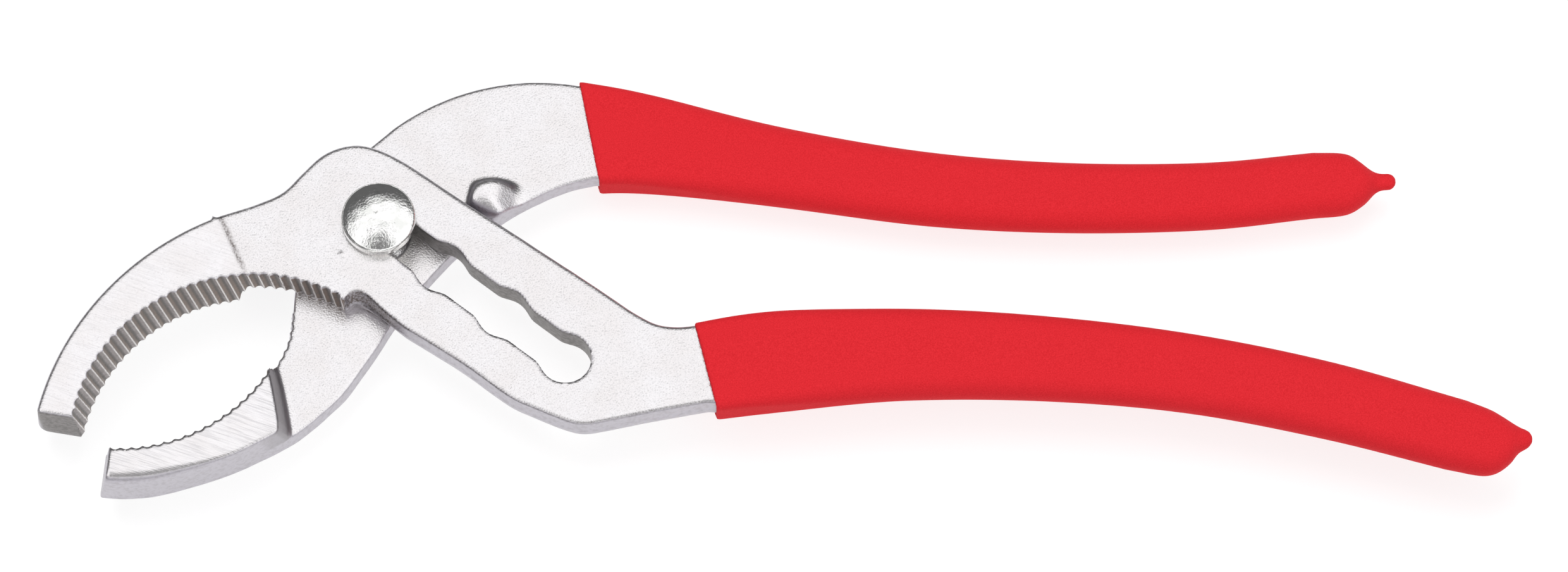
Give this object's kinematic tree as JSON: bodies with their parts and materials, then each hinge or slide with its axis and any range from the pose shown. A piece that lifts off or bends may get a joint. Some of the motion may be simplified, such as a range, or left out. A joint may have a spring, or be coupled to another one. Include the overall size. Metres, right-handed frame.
{
  "type": "slip-joint pliers",
  "caption": "Slip-joint pipe pliers with wide arched toothed jaws, a scalloped adjusting slot, a domed pivot bolt and dipped handle grips.",
  "frame": {"origin": "on the pivot axis, at the flat rear end of the pivot bolt, which is the lowest point of the tool lying on its back", "axes": "+X from the pivot to the handle ends, +Y to the upper handle, +Z out of the slotted lever's face"},
  "size_m": [0.2492, 0.0733, 0.0198],
  "materials": {
    "lever_steel": "satin, shot-blasted and plated, ground on the jaw faces",
    "grip_plastic": "dipped soft plastic with a fine orange-peel skin",
    "pivot_steel": "bright plated, lightly hammered head"
  },
  "bodies": {
    "slotted_side": {"slotted_lever": "lever_steel", "slotted_lever_grip": "grip_plastic"},
    "pivot": {"pivot_bolt": "pivot_steel"},
    "nut": {"pivot_nut": "pivot_steel"},
    "rear_side": {"rear_lever": "lever_steel", "rear_lever_grip": "grip_plastic"}
  },
  "joints": [
    {"name": "slot_slide", "type": "slide", "parent": "slotted_side", "child": "pivot", "axis": [0.7923, -0.6101, 0], "range_m": [0, 0.0396]},
    {"name": "closing_stop", "type": "hinge", "parent": "pivot", "child": "nut", "pos_m": [0, 0, 0.002], "axis": [0, 0, 1], "range_deg": [0, 11.5]},
    {"name": "handle_hinge", "type": "hinge", "parent": "nut", "child": "rear_side", "pos_m": [0, 0, 0.0069], "axis": [0, 0, 1], "range_deg": [0, 55]}
  ],
  "couplings": [
    {"joint": "closing_stop", "follows": "slot_slide", "rad_per_m": 5.05}
  ]
}
